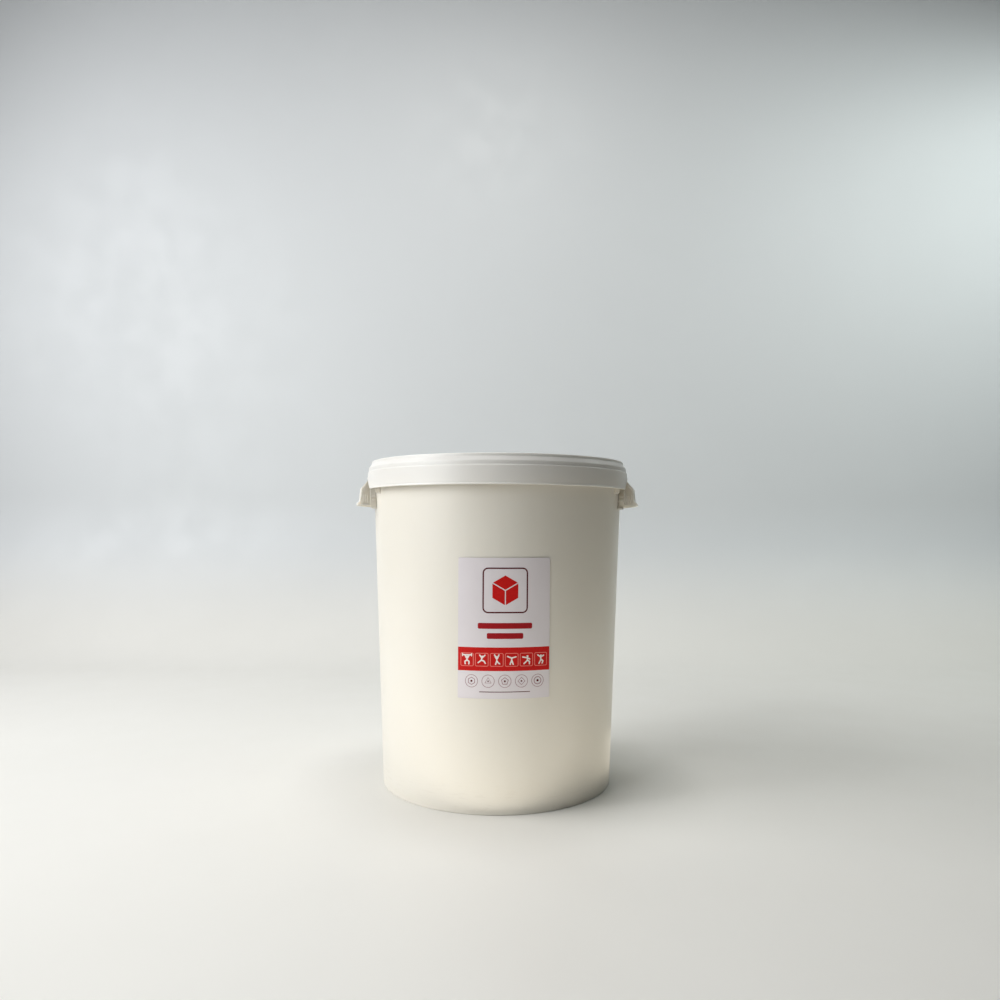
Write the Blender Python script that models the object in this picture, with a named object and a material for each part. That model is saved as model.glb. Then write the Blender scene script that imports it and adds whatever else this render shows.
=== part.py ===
"""Round 25 litre tub of broken gymnastics chalk, with a press-on lid.

The origin is the centre of the base, +Z is up, the label faces -Y and the hand grips are at +X and -X.
All sizes are in metres and all angles in degrees.
"""
import math
import random

import bmesh
import bpy
from mathutils import Matrix, Vector

# Tub
TUB_BASE_RADIUS = 0.1419          # outer radius of the wall, carried down to the floor
TUB_TAPER = 0.0406                # the outer radius grows by this much for each metre of height
WALL = 0.0017
RIM_TOP = 0.3946
BASE_RECESS = 0.003               # the base panel stands this far above the foot ring
BASE_THICKNESS = 0.002
FOOT_RING_WIDTH = 0.0047
BASE_EDGE_RADIUS = 0.0012
FLOOR_EDGE_RADIUS = 0.003         # inside, between the base and the wall
COLLAR_RADIUS = 0.1624            # flange hidden under the lid's skirt
COLLAR_BOTTOM = 0.3713
COLLAR_TOP = 0.3730
BEAD_RADIUS = 0.1604              # bead under the rim that the lid snaps over
BEAD_BOTTOM = 0.3832
BEAD_TOP = 0.3896
BEAD_LAND = 0.0010                # height of the bead's flat outer edge

# Lid
LID_TOP = 0.3968
LID_RADIUS = 0.1650               # at the foot of the skirt, without the lip
LIP_RADIUS = 0.1658
SKIRT_BOTTOM = 0.3620
LIP_HEIGHT = 0.0014
SHOULDER_TOP = 0.3934             # the shoulder slopes from the ring out to the skirt
SHOULDER_KNEE_RADIUS = 0.1635
SHOULDER_KNEE = 0.3884
SHOULDER_BOTTOM = 0.3830
RING_OUTER_RADIUS = 0.1604        # raised ring round the lid, which also locates a tub stacked on top
RING_INNER_RADIUS = 0.1542
LID_WALL = 0.0016
PANEL_TOP = 0.3840
PANEL_EDGE_RADIUS = 0.003
CHANNEL_TOP = 0.3949              # the tub's rim stands in the channel under the ring
PLUG_RADIUS = 0.1555
PLUG_LEAD = 0.0020                # how far the plug narrows towards its lower end
HOOK_RADIUS = 0.1610
HOOK_HEIGHT = 0.3818
HOOK_LAND = 0.0012
NOTCH_TOP = 0.3755
NOTCH_CLEARANCE = 0.7             # degrees between a grip's end and the notch's edge

# Hand grips
GRIP_REACH = 19.0                 # half the angle that a grip covers
GRIP_ROOF_REACH = 14.0            # the same at the top of its sloping roof
GRIP_BOTTOM = 0.3420
GRIP_WALL = 0.0018
GRIP_END_WALL = 0.75              # degrees
POCKET_OVERRUN = 0.010            # how far the pocket's cutter runs past the grip
ROOF_TOP = 0.3734
ROOF_FOOT = 0.3630                # the roof turns down into the flap here
ROOF_THICKNESS = 0.0020
ROOF_START = 0.1646               # the roof's slope starts here, after a short level stretch
FLAP_TOP_RADIUS = 0.1742
FLAP_FOOT_RADIUS = 0.1759
FLAP_FOOT = 0.3465
FLANGE_RADIUS = 0.1787            # outward flange along the flap's lower edge
FLANGE_HEIGHT = 0.0026
COLUMN_RADIUS = 0.1640            # inner part of a grip's end wall, which reaches lower
COLUMN_BOTTOM = 0.3380
COLUMN_SLANT = 0.0020

# Label
LABEL_BOTTOM = 0.1280
LABEL_TOP = 0.2820
LABEL_HALF_WIDTH = 0.0514         # along the wall
LABEL_HEADING = -86.7             # the label is stuck on slightly towards +X
LABEL_THICKNESS = 0.0003

# Chalk
CHALK_EDGE_HEIGHT = 0.2960        # crushed chalk at the wall
CHALK_CROWN = 0.0120              # and how much higher it lies in the middle
CHALK_CLEARANCE = 0.0005
CHALK_RINGS = 4
WALL_CLEARANCE = 0.002            # between a loose piece and the wall
SPOT_TRIES = 4000
FRAGMENT_SIZES = ((0.060, 0.052, 0.030), (0.052, 0.044, 0.028), (0.056, 0.036, 0.030),
                  (0.044, 0.040, 0.026), (0.048, 0.034, 0.028), (0.040, 0.036, 0.024))
CHUNK_COUNT = 36
CHUNK_LARGEST = 0.018             # half width
CHUNK_SMALLEST = 0.0080
CHALK_SEED = 25
FRAGMENT_EDGE = 0.0025            # worn edges of a pressed block
CHUNK_RINGS = ((0.00, 0.70, 6), (0.55, 0.96, 6), (1.25, 0.50, 4))   # height, width, points

GAP = 0.0003                      # between pieces that touch
EDGE_BREAK = 0.0006               # small bevel on a moulded edge
TURN_STEPS = 64
GRIP_STEPS = 10
LABEL_STEPS = 12
SHARP_ANGLE = 35.0

COLOURS = {                       # name: (base colour, roughness, metallic)
    "tub_plastic": ((0.84, 0.83, 0.79, 1.0), 0.32, 0.0),
    "lid_plastic": ((0.86, 0.86, 0.84, 1.0), 0.28, 0.0),
    "label_paper": ((0.88, 0.86, 0.89, 1.0), 0.45, 0.0),
    "chalk": ((0.93, 0.93, 0.92, 1.0), 0.95, 0.0),
}


def clear_scene():
    for item in list(bpy.data.objects):
        bpy.data.objects.remove(item, do_unlink=True)


def make_materials():
    made = {}
    for name, (colour, roughness, metallic) in COLOURS.items():
        material = bpy.data.materials.new(name)
        material.use_nodes = True
        shader = material.node_tree.nodes["Principled BSDF"]
        shader.inputs["Base Color"].default_value = colour
        shader.inputs["Roughness"].default_value = roughness
        shader.inputs["Metallic"].default_value = metallic
        made[name] = material
    return made


def add_piece(name, bm, material, parent=None):
    """Turn a closed bmesh into a named object with its faces pointing out."""
    bmesh.ops.remove_doubles(bm, verts=bm.verts, dist=1e-6)
    bmesh.ops.recalc_face_normals(bm, faces=bm.faces)
    mesh = bpy.data.meshes.new(name)
    bm.to_mesh(mesh)
    bm.free()
    mesh.shade_smooth()
    mesh.set_sharp_from_angle(angle=math.radians(SHARP_ANGLE))
    piece = bpy.data.objects.new(name, mesh)
    if material:
        mesh.materials.append(material)
    bpy.context.collection.objects.link(piece)
    piece.parent = parent
    return piece


def add_empty(name):
    empty = bpy.data.objects.new(name, None)
    bpy.context.collection.objects.link(empty)
    return empty


def wall_radius(height):
    """Outer radius of the tub's wall."""
    return TUB_BASE_RADIUS + TUB_TAPER * height


def at(radius, height, degrees):
    angle = math.radians(degrees)
    return Vector((radius * math.cos(angle), radius * math.sin(angle), height))


def arc(centre, radius, start, end, steps):
    """Points of a round edge in a profile, as (radius, height)."""
    angles = [math.radians(start + (end - start) * i / steps) for i in range(steps + 1)]
    return [(centre[0] + radius * math.cos(a), centre[1] + radius * math.sin(a)) for a in angles]


def bridge(bm, ring, following, closed):
    count = len(ring)
    for i in range(count if closed else count - 1):
        j = (i + 1) % count
        corners = []
        for vert in (ring[i], ring[j], following[j], following[i]):
            if vert not in corners:
                corners.append(vert)
        if len(corners) > 2:
            bm.faces.new(corners)


def turned(profile, steps=TURN_STEPS):
    """Solid turned about Z from a profile that starts and ends on the axis."""
    bm = bmesh.new()
    poles = [bm.verts.new((0, 0, profile[0][1])), bm.verts.new((0, 0, profile[-1][1]))]
    rings = []
    for step in range(steps):
        outer = [bm.verts.new(at(r, z, 360 * step / steps)) for r, z in profile[1:-1]]
        rings.append([poles[0], *outer, poles[1]])
    for step in range(steps):
        bridge(bm, rings[step], rings[(step + 1) % steps], closed=False)
    return bm


def swept(outline, reach, heading, steps):
    """Solid swept about Z from a closed outline, as far to each side of heading as reach(height) says."""
    bm = bmesh.new()
    rings = []
    for step in range(steps + 1):
        share = 2 * step / steps - 1
        rings.append([bm.verts.new(at(r, z, heading + share * reach(z))) for r, z in outline])
    for ring, following in zip(rings, rings[1:]):
        bridge(bm, ring, following, closed=True)
    bm.faces.new(rings[0])
    bm.faces.new(rings[-1])
    return bm


def cut(piece, cutters):
    for cutter in cutters:
        cutter.hide_render = True
        cutter.display_type = "WIRE"
        modifier = piece.modifiers.new(cutter.name, "BOOLEAN")
        modifier.operation = "DIFFERENCE"
        modifier.object = cutter


# --- tub and lid -----------------------------------------------------------------------------

def parallel(line, distance):
    """The same line moved sideways, to the right of its own direction."""
    moved = []
    for i, (radius, height) in enumerate(line):
        before, after = line[max(i - 1, 0)], line[min(i + 1, len(line) - 1)]
        along = Vector((after[0] - before[0], after[1] - before[1])).normalized()
        moved.append((radius + along.y * distance, height - along.x * distance))
    return moved


def tub_profile():
    """From under the base, up the outer side, over the rim and down inside."""
    foot_outer = wall_radius(BASE_EDGE_RADIUS) - BASE_EDGE_RADIUS
    foot_inner = foot_outer - FOOT_RING_WIDTH
    floor = BASE_RECESS + BASE_THICKNESS
    bead_middle = (BEAD_BOTTOM + BEAD_TOP) / 2
    rim_outer = wall_radius(RIM_TOP) - GAP
    rim_inner = wall_radius(RIM_TOP) - WALL
    inner_radius = wall_radius(floor + FLOOR_EDGE_RADIUS) - WALL
    profile = [(0, BASE_RECESS), (foot_inner - BASE_RECESS / 2, BASE_RECESS), (foot_inner, 0)]
    profile += arc((foot_outer, BASE_EDGE_RADIUS), BASE_EDGE_RADIUS, -90, 0, 3)
    profile += [
        (wall_radius(COLLAR_BOTTOM), COLLAR_BOTTOM),
        (COLLAR_RADIUS, COLLAR_BOTTOM),
        (COLLAR_RADIUS, COLLAR_TOP),
        (wall_radius(COLLAR_TOP), COLLAR_TOP),
        (wall_radius(BEAD_BOTTOM), BEAD_BOTTOM),
        (BEAD_RADIUS, bead_middle - BEAD_LAND / 2),
        (BEAD_RADIUS, bead_middle + BEAD_LAND / 2),
        (wall_radius(BEAD_TOP), BEAD_TOP),
        (rim_outer, RIM_TOP - EDGE_BREAK),
        (rim_outer - EDGE_BREAK / 2, RIM_TOP),
        (rim_inner + EDGE_BREAK / 2, RIM_TOP),
        (rim_inner, RIM_TOP - EDGE_BREAK),
    ]
    floor_corner = (inner_radius - FLOOR_EDGE_RADIUS, floor + FLOOR_EDGE_RADIUS)
    profile += arc(floor_corner, FLOOR_EDGE_RADIUS, 0, -90, 3)
    profile.append((0, floor))
    return profile


def lid_profile():
    """From the panel's middle, over the ring, down the skirt, then back along the underside."""
    panel_corner = (RING_INNER_RADIUS - EDGE_BREAK - PANEL_EDGE_RADIUS, PANEL_TOP + PANEL_EDGE_RADIUS)
    profile = [(0, PANEL_TOP)]
    profile += arc(panel_corner, PANEL_EDGE_RADIUS, -90, 0, 3)
    profile += [
        (RING_INNER_RADIUS, LID_TOP - EDGE_BREAK),
        (RING_INNER_RADIUS + EDGE_BREAK, LID_TOP),
        (RING_OUTER_RADIUS - 2 * EDGE_BREAK, LID_TOP),
    ]
    outer_side = [
        (RING_OUTER_RADIUS - EDGE_BREAK, LID_TOP - EDGE_BREAK),
        (RING_OUTER_RADIUS, SHOULDER_TOP),
        (SHOULDER_KNEE_RADIUS, SHOULDER_KNEE),
        (LID_RADIUS - EDGE_BREAK / 2, SHOULDER_BOTTOM),
        (LID_RADIUS, SKIRT_BOTTOM + LIP_HEIGHT),
    ]
    inner_side = parallel(outer_side, LID_WALL)
    inner_side[0] = (inner_side[0][0], CHANNEL_TOP)
    profile += outer_side
    profile += [(LIP_RADIUS, SKIRT_BOTTOM + LIP_HEIGHT), (LIP_RADIUS, SKIRT_BOTTOM),
                (LID_RADIUS - LID_WALL, SKIRT_BOTTOM)]
    hook_root = LID_RADIUS - LID_WALL - EDGE_BREAK
    profile += [
        (hook_root, HOOK_HEIGHT - 1.5 * HOOK_LAND),
        (HOOK_RADIUS, HOOK_HEIGHT - HOOK_LAND / 2),
        (HOOK_RADIUS, HOOK_HEIGHT + HOOK_LAND / 2),
        (hook_root, HOOK_HEIGHT + 1.5 * HOOK_LAND),
    ]
    profile += reversed(inner_side[:3])
    profile += [
        (PLUG_RADIUS, CHANNEL_TOP),
        (PLUG_RADIUS - EDGE_BREAK, PANEL_TOP),
        (PLUG_RADIUS - PLUG_LEAD, PANEL_TOP - LID_WALL),
        (0, PANEL_TOP - LID_WALL),
    ]
    return profile


def build_tub(materials):
    return add_piece("tub", turned(tub_profile()), materials["tub_plastic"])


def build_lid(materials):
    """Lid on an empty at the centre of the rim, along whose Z axis it lifts off."""
    lift = add_empty("lid_lift_axis")
    lift.location = (0, 0, RIM_TOP)
    lid = add_piece("lid", turned(lid_profile()), materials["lid_plastic"], lift)
    lid.matrix_parent_inverse = Matrix.Translation((0, 0, -RIM_TOP))

    def notch_reach(height):
        return grip_reach(height) + NOTCH_CLEARANCE

    inner, outer = HOOK_RADIUS + GAP, LIP_RADIUS + LID_WALL
    below = SKIRT_BOTTOM - LID_WALL
    outline = [(inner, below), (outer, below), (outer, NOTCH_TOP), (inner, NOTCH_TOP)]
    notches = [add_piece(f"notch_cutter_{heading}", swept(outline, notch_reach, heading, GRIP_STEPS), None)
               for heading in (0, 180)]
    cut(lid, notches)
    return lid


# --- hand grips ------------------------------------------------------------------------------

def grip_reach(height):
    """Half the angle that a grip covers: its ends lean in above the flap, as the lid's notches do."""
    share = (height - ROOF_FOOT) / (ROOF_TOP - ROOF_FOOT)
    return GRIP_REACH + (GRIP_ROOF_REACH - GRIP_REACH) * min(max(share, 0.0), 1.0)


def pocket_reach(height):
    return grip_reach(height) - GRIP_END_WALL


def build_hand_grip(side, heading, materials):
    """Hood under the collar: sloping roof, flap with a flange, and two end walls; open below."""
    ledge_top = COLLAR_BOTTOM - GAP
    ledge_end = COLLAR_RADIUS + GAP
    ledge_bottom = ledge_top - ROOF_THICKNESS
    outline = [
        (ledge_end, ROOF_TOP),
        (ROOF_START, ROOF_TOP - EDGE_BREAK),
        (FLAP_TOP_RADIUS, ROOF_FOOT),
        (FLAP_FOOT_RADIUS, FLAP_FOOT),
        (FLANGE_RADIUS, GRIP_BOTTOM + FLANGE_HEIGHT),
        (FLANGE_RADIUS, GRIP_BOTTOM + EDGE_BREAK),
        (FLANGE_RADIUS - 2 * EDGE_BREAK, GRIP_BOTTOM),
        (COLUMN_RADIUS, GRIP_BOTTOM),
        (COLUMN_RADIUS - COLUMN_SLANT, COLUMN_BOTTOM),
        (wall_radius(COLUMN_BOTTOM) + GAP, COLUMN_BOTTOM),
        (wall_radius(ledge_top) + GAP, ledge_top),
        (ledge_end, ledge_top),
    ]
    inside = wall_radius(COLUMN_BOTTOM) - POCKET_OVERRUN
    below = COLUMN_BOTTOM - POCKET_OVERRUN
    pocket = [
        (inside, below),
        (FLAP_FOOT_RADIUS - GRIP_WALL, below),
        (FLAP_FOOT_RADIUS - GRIP_WALL, FLAP_FOOT),
        (FLAP_TOP_RADIUS - GRIP_WALL, ROOF_FOOT - GRIP_WALL / 2),
        (ROOF_START + GAP, ledge_bottom),
        (inside, ledge_bottom),
    ]
    name = f"hand_grip_{side}"
    grip = add_piece(name, swept(outline, grip_reach, heading, GRIP_STEPS), materials["tub_plastic"])
    cutter = add_piece(f"{name}_pocket", swept(pocket, pocket_reach, heading, GRIP_STEPS), None)
    cut(grip, [cutter])
    return grip


# --- label -----------------------------------------------------------------------------------

def build_label(materials):
    outline = [
        (wall_radius(LABEL_BOTTOM) + GAP, LABEL_BOTTOM),
        (wall_radius(LABEL_BOTTOM) + GAP + LABEL_THICKNESS, LABEL_BOTTOM),
        (wall_radius(LABEL_TOP) + GAP + LABEL_THICKNESS, LABEL_TOP),
        (wall_radius(LABEL_TOP) + GAP, LABEL_TOP),
    ]

    def label_reach(height):
        return math.degrees(LABEL_HALF_WIDTH / wall_radius(height))

    return add_piece("label", swept(outline, label_reach, LABEL_HEADING, LABEL_STEPS), materials["label_paper"])


# --- chalk -----------------------------------------------------------------------------------

def chalk_height(radius):
    edge = wall_radius(CHALK_EDGE_HEIGHT)
    return CHALK_EDGE_HEIGHT + CHALK_CROWN * (1 - (radius / edge) ** 2)


def build_crushed_chalk(materials):
    floor = BASE_RECESS + BASE_THICKNESS + CHALK_CLEARANCE
    foot = floor + FLOOR_EDGE_RADIUS

    def chalk_radius(height):
        return wall_radius(height) - WALL - CHALK_CLEARANCE

    profile = [(0, floor), (chalk_radius(foot) - FLOOR_EDGE_RADIUS, floor), (chalk_radius(foot), foot)]
    top_edge = chalk_radius(CHALK_EDGE_HEIGHT)
    for ring in range(CHALK_RINGS, -1, -1):
        radius = top_edge * ring / CHALK_RINGS
        profile.append((radius, chalk_height(radius)))
    return add_piece("crushed_chalk", turned(profile), materials["chalk"])


def hull(points):
    bm = bmesh.new()
    for point in points:
        bm.verts.new(point)
    result = bmesh.ops.convex_hull(bm, input=bm.verts)
    spare = result["geom_interior"] + result["geom_unused"]
    spare_verts = {item for item in spare if isinstance(item, bmesh.types.BMVert)}
    bmesh.ops.delete(bm, geom=list(spare_verts), context="VERTS")
    bmesh.ops.triangulate(bm, faces=bm.faces)
    return bm


def chunk_shape(half_width, rng):
    """Broken chunk with a flat underside: three uneven rings of points and their hull."""
    points = []
    for height, width, count in CHUNK_RINGS:
        turn = rng.uniform(0, 360)
        for i in range(count):
            spread = half_width * width * rng.uniform(0.80, 1.0)
            lift = half_width * height * rng.uniform(0.85, 1.15)
            points.append(at(spread, lift, turn + 360 * (i + rng.uniform(-0.2, 0.2)) / count))
    return hull(points)


def fragment_shape(size, rng):
    """Piece of a pressed block: square-cut on three sides, broken off across the fourth."""
    length, width, height = size
    edge = FRAGMENT_EDGE
    points = []
    for y in (-width / 2, width / 2):
        for z in (0, height):
            inward_y = y - math.copysign(edge, y)
            inward_z = z + (edge if z == 0 else -edge)
            broken = length / 2 - length * rng.uniform(0.02, 0.30)
            points += [(edge - length / 2, y, inward_z), (edge - length / 2, inward_y, z)]
            points += [(-length / 2, inward_y, inward_z)]
            points += [(broken, y, inward_z), (broken - edge, inward_y, z)]
    points.append((length / 2, width * rng.uniform(-0.15, 0.15), height * rng.uniform(0.4, 0.6)))
    return hull(points)


def find_spot(half_width, placed, rng):
    """A place on the crushed chalk where a piece of this half width touches no other piece."""
    limit = wall_radius(CHALK_EDGE_HEIGHT) - WALL - WALL_CLEARANCE - half_width
    for _ in range(SPOT_TRIES):
        radius = limit * math.sqrt(rng.random())
        spot = at(radius, 0, rng.uniform(0, 360))
        if all((spot - other).length > half_width + taken + GAP for other, taken in placed):
            placed.append((spot, half_width))
            return spot
    return None


def settle(piece, spot, turn):
    """Stand a piece on the crowned surface, leaning as the surface does."""
    radius = spot.length
    edge = wall_radius(CHALK_EDGE_HEIGHT)
    slope = math.atan(2 * CHALK_CROWN * radius / edge ** 2)
    normal = at(math.sin(slope), math.cos(slope), math.degrees(math.atan2(spot.y, spot.x)))
    lean = Vector((0, 0, 1)).rotation_difference(normal)
    piece.rotation_mode = "QUATERNION"
    piece.rotation_quaternion = lean @ Matrix.Rotation(turn, 3, "Z").to_quaternion()
    piece.location = Vector((spot.x, spot.y, chalk_height(radius))) + normal * 2 * GAP


def build_loose_chalk(materials):
    rng = random.Random(CHALK_SEED)
    placed = []
    pieces = []
    for number, size in enumerate(FRAGMENT_SIZES, 1):
        spot = find_spot(math.hypot(size[0], size[1]) / 2, placed, rng)
        piece = add_piece(f"block_fragment_{number:02d}", fragment_shape(size, rng), materials["chalk"])
        settle(piece, spot, rng.uniform(0, 2 * math.pi))
        pieces.append(piece)
    for number in range(1, CHUNK_COUNT + 1):
        share = (number - 1) / (CHUNK_COUNT - 1)
        half_width = CHUNK_LARGEST + (CHUNK_SMALLEST - CHUNK_LARGEST) * share
        spot = find_spot(half_width, placed, rng)
        if spot is None:
            raise RuntimeError(f"no room for chalk chunk {number}")
        piece = add_piece(f"chalk_chunk_{number:02d}", chunk_shape(half_width, rng), materials["chalk"])
        settle(piece, spot, rng.uniform(0, 2 * math.pi))
        pieces.append(piece)
    return pieces


def main():
    clear_scene()
    materials = make_materials()
    build_tub(materials)
    build_hand_grip("right", 0, materials)
    build_hand_grip("left", 180, materials)
    build_label(materials)
    build_lid(materials)
    build_crushed_chalk(materials)
    build_loose_chalk(materials)


main()
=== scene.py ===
"""Looks of a round 25 litre tub of broken gymnastics chalk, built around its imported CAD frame.

Sizes are in metres and angles in degrees. +Z is up, the label faces -Y, and the hand grips are at +X
and -X. The tub's body carries everything but the lid, which lifts straight off along Z.
"""
import math
import random

import bmesh
import bpy
from mathutils import Matrix, Vector, noise


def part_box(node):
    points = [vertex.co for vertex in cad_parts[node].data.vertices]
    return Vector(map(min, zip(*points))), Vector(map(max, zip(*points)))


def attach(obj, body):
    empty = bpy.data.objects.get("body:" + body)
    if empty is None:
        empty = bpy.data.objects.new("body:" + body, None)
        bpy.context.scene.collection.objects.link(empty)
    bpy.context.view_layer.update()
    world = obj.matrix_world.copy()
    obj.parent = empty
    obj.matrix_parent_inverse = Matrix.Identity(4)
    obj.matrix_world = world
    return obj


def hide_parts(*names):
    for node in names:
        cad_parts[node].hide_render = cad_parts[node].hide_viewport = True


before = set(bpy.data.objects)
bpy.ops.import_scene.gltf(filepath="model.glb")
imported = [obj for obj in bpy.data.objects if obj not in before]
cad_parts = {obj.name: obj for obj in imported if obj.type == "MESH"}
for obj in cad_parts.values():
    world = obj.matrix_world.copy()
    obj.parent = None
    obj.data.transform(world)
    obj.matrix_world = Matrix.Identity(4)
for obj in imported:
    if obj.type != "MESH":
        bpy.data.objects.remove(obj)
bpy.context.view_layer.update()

# --- sizes -------------------------------------------------------------------------------------

LID_LOW, LID_HIGH = (Vector(corner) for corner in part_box("lid"))
TUB_HIGH = Vector(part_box("tub")[1])
GRIP_LOW, GRIP_HIGH = (Vector(corner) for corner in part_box("hand_grip_right"))
LABEL_LOW, LABEL_HIGH = (Vector(corner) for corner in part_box("label"))

# Tub, as its CAD node has it
FLOOR_RADIUS = 0.1419             # outer radius of the wall, carried down to the floor
TAPER = 0.0406                    # growth of that radius with height
WALL = 0.0017
RIM_TOP = TUB_HIGH.z
BASE_RECESS = 0.003
BASE_TOP = 0.005
FOOT_RING_WIDTH = 0.0047
FOOT_EDGE = 0.0012                # rounding round the outside of the base
FLOOR_EDGE = 0.003                # and inside, between the base and the wall
COLLAR_RADIUS = TUB_HIGH.x
COLLAR_BOTTOM = 0.3713
COLLAR_TOP = 0.3730
BEAD_RADIUS = 0.1604
BEAD_BOTTOM = 0.3832
BEAD_TOP = 0.3896
GAP = 0.0003                      # between pieces that touch

# Lid
LID_TOP = LID_HIGH.z
SKIRT_BOTTOM = LID_LOW.z
LIP_RADIUS = LID_HIGH.y
LID_RADIUS = LIP_RADIUS - 0.0008
LIP_HEIGHT = 0.0014
LID_WALL = 0.0016
RING_OUTER = 0.1604
RING_INNER = 0.1542
SHOULDER_TOP = 0.3934
KNEE = (0.1637, 0.3884)
SHOULDER_BOTTOM = 0.3832          # a small step out to the skirt
PANEL_TOP = 0.3840
PANEL_STEP_RADIUS = 0.1180        # a shallow step round the middle of the panel
PANEL_STEP = 0.0006
CHANNEL_TOP = 0.3949
PLUG_RADIUS = 0.1555
HOOK_RADIUS = 0.1610
HOOK_HEIGHT = 0.3818
NOTCH_TOP = 0.3755
WARP_TOP = 0.3784                 # the skirt keeps its shape above this height
NOTCH_EDGE = ((14.35, NOTCH_TOP), (14.85, 0.3735), (19.75, 0.3633), (20.1, SKIRT_BOTTOM))
NOTCH_SOFTNESS = 0.45             # degrees over which the notch's corners are rounded

# Hand grips
GRIP_REACH = 19.0
ROOF_REACH = 14.0
ROOF_TOP = GRIP_HIGH.z
ROOF_FOOT = 0.3630
ROOF_START = 0.1646
LEDGE_TOP = COLLAR_BOTTOM - GAP
LEDGE_BOTTOM = LEDGE_TOP - 0.0020
FLAP_TOP_RADIUS = 0.1742
FLAP_FOOT_RADIUS = 0.1759
FLAP_FOOT = 0.3465
FLANGE_RADIUS = GRIP_HIGH.x
FLANGE_HEIGHT = 0.0026
GRIP_BOTTOM = 0.3420
GRIP_WALL = 0.0018
GRIP_END_WALL = 0.75              # degrees
COLUMN_RADIUS = 0.1640
COLUMN_FOOT_RADIUS = 0.1620
COLUMN_BOTTOM = GRIP_LOW.z
GRIP_STEPS = 40                   # sections along a grip
FLAP_RIB_RADII = (0.1672, 0.1699, 0.1726)
FLAP_RIB_TOP = 0.3555
COLUMN_RIB_HEIGHTS = (0.3396, 0.3488, 0.3532)
RIB_PROUD = 0.0007                # how far an end wall's ribs stand out, and how deep they start
RIB_SUNK = -0.0006
END_ROUNDING = ((0.00, 0.00050), (0.03, 0.00028), (0.09, 0.00009), (0.17, 0.0))

# Label
LABEL_HEADING = -86.7
LABEL_HALF_WIDTH = 0.0514         # along the wall
LABEL_BOTTOM = LABEL_LOW.z
LABEL_TOP = LABEL_HIGH.z
LABEL_THICKNESS = 0.0003

# Chalk
CHALK_EDGE_HEIGHT = 0.2960
CHALK_CROWN = 0.0120
CHALK_CLEARANCE = 0.0005

TINY = 1e-6
STEPS = 256                       # columns of a turned body
SHARP_ANGLE = 38.0
BEND_STEPS = 4


# --- making shapes -----------------------------------------------------------------------------

def wall_radius(height):
    return FLOOR_RADIUS + TAPER * height


def at(radius, height, degrees):
    angle = math.radians(degrees)
    return Vector((radius * math.cos(angle), radius * math.sin(angle), height))


def rounded(corners, closed=False):
    """Line through (radius, height, bend) corners; bend is how far before the corner its curve starts."""
    points = []
    for i, (x, y, bend) in enumerate(corners):
        here = Vector((x, y))
        if bend == 0 or (not closed and i in (0, len(corners) - 1)):
            points.append(here)
            continue
        before = Vector(corners[i - 1][:2]) - here
        after = Vector(corners[(i + 1) % len(corners)][:2]) - here
        start = before.normalized() * min(bend, before.length * 0.46)
        end = after.normalized() * min(bend, after.length * 0.46)
        if start.length < before.length * 0.3:
            points.append(here + start * 1.3)
        for step in range(BEND_STEPS + 1):
            t = step / BEND_STEPS
            points.append(here + start * (1 - t) ** 2 + end * t ** 2)
        if end.length < after.length * 0.3:
            points.append(here + end * 1.3)
    return points


def bridge(bm, ring, following, closed):
    count = len(ring)
    for i in range(count if closed else count - 1):
        j = (i + 1) % count
        corners = []
        for vert in (ring[i], ring[j], following[j], following[i]):
            if vert not in corners:
                corners.append(vert)
        if len(corners) > 2:
            bm.faces.new(corners)


def turned(bm, profile, angles, warp=None):
    """Body turned about Z from a profile that starts and ends on the axis."""
    poles = [bm.verts.new((0, 0, profile[0][1])), bm.verts.new((0, 0, profile[-1][1]))]
    columns = []
    for angle in angles:
        column = [poles[0]]
        for radius, height in profile[1:-1]:
            if warp:
                radius, height = warp(radius, height, angle)
            column.append(bm.verts.new(at(radius, height, angle)))
        columns.append(column + [poles[1]])
    for column, following in zip(columns, columns[1:] + columns[:1]):
        bridge(bm, column, following, closed=False)


def even_angles(steps=STEPS):
    return [360 * step / steps for step in range(steps)]


def block(bm, heading, low, high, bevel):
    """Small moulded bar with rounded edges, between low and high, each (radius, sideways, height)."""
    corners = []
    for x in (low[0], high[0]):
        for y in (low[1], high[1]):
            for z in (low[2], high[2]):
                corners.append(Vector((x, y, z)))
    spot = Matrix.Rotation(math.radians(heading), 4, "Z")
    verts = [bm.verts.new(spot @ corner) for corner in corners]
    faces = [bm.faces.new([verts[i] for i in loop]) for loop in
             ((0, 1, 3, 2), (4, 6, 7, 5), (0, 4, 5, 1), (2, 3, 7, 6), (0, 2, 6, 4), (1, 5, 7, 3))]
    edges = list({edge for face in faces for edge in face.edges})
    bmesh.ops.bevel(bm, geom=edges, offset=bevel, segments=2, affect="EDGES", profile=0.5)


def plate(bm, outline, heading, thickness, bevel):
    """Thin upright web with the given (radius, height) outline, standing on a radius of the tub."""
    spot = Matrix.Rotation(math.radians(heading), 4, "Z")
    sides = [[bm.verts.new(spot @ Vector((r, side * thickness / 2, z))) for r, z in outline]
             for side in (-1, 1)]
    bridge(bm, sides[0], sides[1], closed=True)
    faces = [bm.faces.new(sides[0]), bm.faces.new(sides[1])]
    edges = list({edge for face in faces for edge in face.edges})
    bmesh.ops.bevel(bm, geom=edges, offset=bevel, segments=2, affect="EDGES", profile=0.5)


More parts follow.
